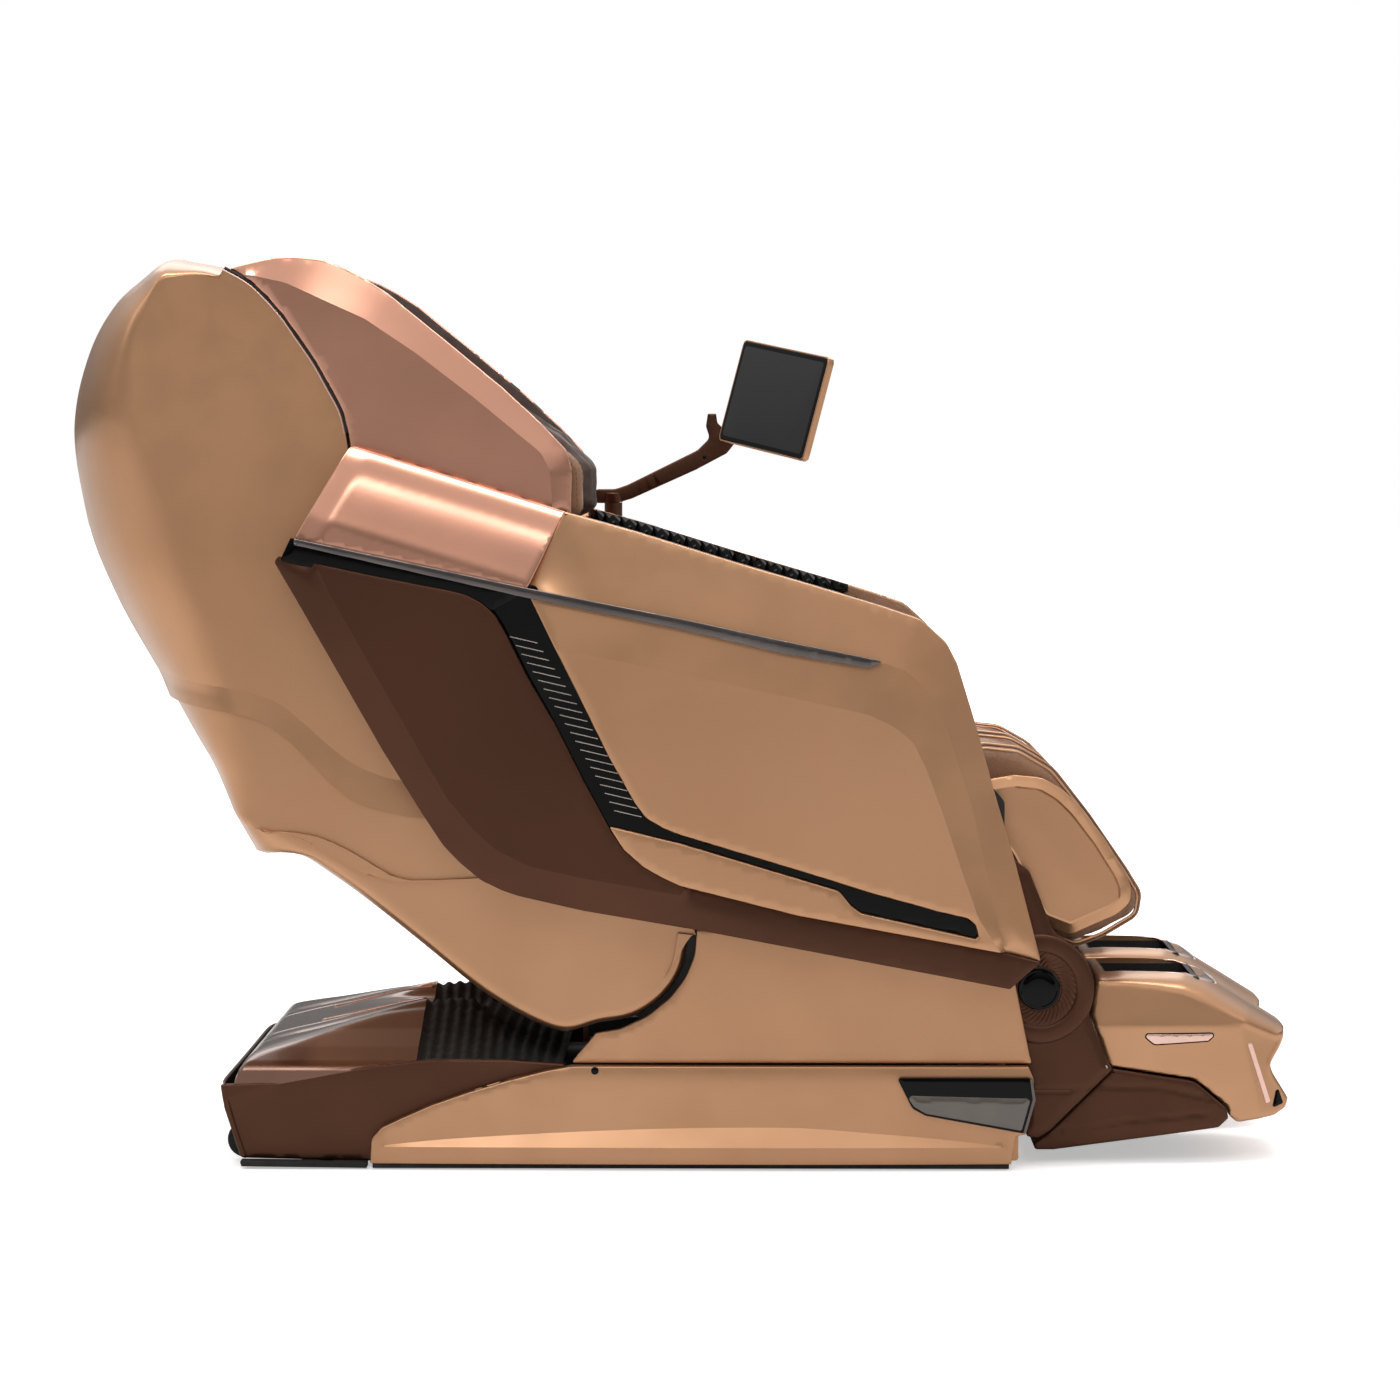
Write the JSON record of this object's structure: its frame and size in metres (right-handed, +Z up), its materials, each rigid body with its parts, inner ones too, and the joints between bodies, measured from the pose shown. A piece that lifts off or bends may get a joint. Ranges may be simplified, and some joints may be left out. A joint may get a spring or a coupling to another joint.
{
  "type": "massage chair",
  "caption": "Reclining full-body massage chair with sliding seat carriage, winged head section, separate lifting leg and foot units and a tablet on a swivel arm.",
  "frame": {"origin": "middle of the footprint on the floor", "axes": "+X forward (feet side), +Y the sitter's left, +Z up"},
  "size_m": [1.7676, 0.86, 1.298],
  "materials": {
    "black_plastic": "matte",
    "bright_steel": "polished",
    "champagne": "satin",
    "copper": "gloss",
    "dark_brown": "satin",
    "fin_metal": "satin",
    "frame_steel": "satin",
    "leather_brown": "satin",
    "lining": "matte",
    "piano_black": "gloss",
    "rubber": "matte",
    "screen_glass": "gloss",
    "smoke_glass": "gloss",
    "strip_chrome": "gloss"
  },
  "bodies": {
    "base": {"base_frame": "frame_steel", "floor_feet": "rubber", "slide_actuator_body": "black_plastic", "control_box": "black_plastic", "air_pump": "black_plastic", "base_covers": "champagne", "rear_cover": "dark_brown", "rear_hood": "copper", "base_front_panel": "dark_brown", "base_lamps": "smoke_glass", "power_inlet": "black_plastic"},
    "mains_switch": {"power_switch": "black_plastic"},
    "wheel_right": {"transport_wheel_right": "rubber"},
    "wheel_left": {"transport_wheel_left": "rubber"},
    "carriage": {"seat_frame": "frame_steel", "slide_actuator_rod": "bright_steel", "carriage_covers": "champagne", "arm_front_right": "champagne", "arm_front_left": "champagne", "arm_uppers": "copper", "arm_lower_right": "dark_brown", "arm_lower_left": "dark_brown", "vent_panels": "piano_black", "vent_fins": "fin_metal", "arm_strips": "strip_chrome", "seat_cushion": "leather_brown", "arm_pads": "leather_brown", "arm_liners": "piano_black", "control_console": "dark_brown", "tablet_post": "dark_brown"},
    "dial": {"jog_dial": "bright_steel"},
    "button_power": {"power_button": "bright_steel"},
    "button_recline": {"recline_button": "bright_steel"},
    "tablet_swivel": {"tablet_arm": "dark_brown"},
    "tablet": {"tablet_case": "champagne", "tablet_screen": "screen_glass"},
    "backrest": {"back_frame": "frame_steel", "back_shell_upper": "champagne", "back_shell_lower": "champagne", "back_spine_cover": "dark_brown", "wings": "copper", "wing_pads": "leather_brown", "back_lining": "lining", "back_cushion": "leather_brown", "head_pillow": "leather_brown"},
    "roller_unit": {"massage_carriage": "frame_steel", "massage_rollers": "rubber"},
    "leg_right": {"leg_arm_right": "dark_brown", "calf_pad_right": "leather_brown", "calf_shell_right": "champagne"},
    "foot_right": {"foot_shell_right": "champagne", "foot_liner_right": "lining", "foot_sole_right": "dark_brown"},
    "leg_left": {"leg_arm_left": "dark_brown", "calf_pad_left": "leather_brown", "calf_shell_left": "champagne"},
    "foot_left": {"foot_shell_left": "champagne", "foot_liner_left": "lining", "foot_sole_left": "dark_brown"}
  },
  "joints": [
    {"name": "carriage_slide", "type": "slide", "parent": "base", "child": "carriage", "axis": [1, 0, 0], "range_m": [0, 0.3]},
    {"name": "recline", "type": "hinge", "parent": "carriage", "child": "backrest", "pos_m": [-0.105, 0, 0.329], "axis": [0, -1, 0], "range_deg": [0, 30]},
    {"name": "roller_travel", "type": "slide", "parent": "backrest", "child": "roller_unit", "axis": [-0.494, 0, 0.8695], "range_m": [0, 0.48]},
    {"name": "leg_lift_right", "type": "hinge", "parent": "carriage", "child": "leg_right", "pos_m": [0.435, 0, 0.51], "axis": [0, -1, 0], "range_deg": [0, 70]},
    {"name": "foot_tilt_right", "type": "hinge", "parent": "leg_right", "child": "foot_right", "pos_m": [0.52, 0, 0.253], "axis": [0, -1, 0], "range_deg": [0, 15]},
    {"name": "leg_lift_left", "type": "hinge", "parent": "carriage", "child": "leg_left", "pos_m": [0.435, 0, 0.51], "axis": [0, -1, 0], "range_deg": [0, 70]},
    {"name": "foot_tilt_left", "type": "hinge", "parent": "leg_left", "child": "foot_left", "pos_m": [0.52, 0, 0.253], "axis": [0, -1, 0], "range_deg": [0, 15]},
    {"name": "tablet_swivel", "type": "hinge", "parent": "carriage", "child": "tablet_swivel", "pos_m": [-0.105, 0.404, 0.941], "axis": [0, 0, 1], "range_deg": [-10, 60]},
    {"name": "tablet_tilt", "type": "hinge", "parent": "tablet_swivel", "child": "tablet", "pos_m": [0.11456, 0.36577, 1.08136], "axis": [0.5402, -0.8307, -0.1348], "range_deg": [-8, 8]},
    {"name": "dial_turn", "type": "hinge", "parent": "carriage", "child": "dial", "pos_m": [-0.03, -0.326, 0.8783], "axis": [0.2815, 0, 0.9596], "continuous": true},
    {"name": "power_press", "type": "slide", "parent": "carriage", "child": "button_power", "axis": [-0.2815, 0, -0.9596], "range_m": [0, 0.0012], "stiffness_N_per_m": 600, "springref_m": -0.0005},
    {"name": "recline_press", "type": "slide", "parent": "carriage", "child": "button_recline", "axis": [-0.2815, 0, -0.9596], "range_m": [0, 0.0012], "stiffness_N_per_m": 600, "springref_m": -0.0005},
    {"name": "mains_rocker", "type": "hinge", "parent": "base", "child": "mains_switch", "pos_m": [-0.626, -0.158, 0.066], "axis": [0, 1, 0], "range_deg": [-6, 6]},
    {"name": "wheel_spin_right", "type": "hinge", "parent": "base", "child": "wheel_right", "pos_m": [-0.612, -0.294, 0.031], "axis": [0, 1, 0], "continuous": true},
    {"name": "wheel_spin_left", "type": "hinge", "parent": "base", "child": "wheel_left", "pos_m": [-0.612, 0.294, 0.031], "axis": [0, 1, 0], "continuous": true}
  ],
  "couplings": [
    {"joint": "recline", "follows": "carriage_slide", "rad_per_m": 1.7453}
  ]
}
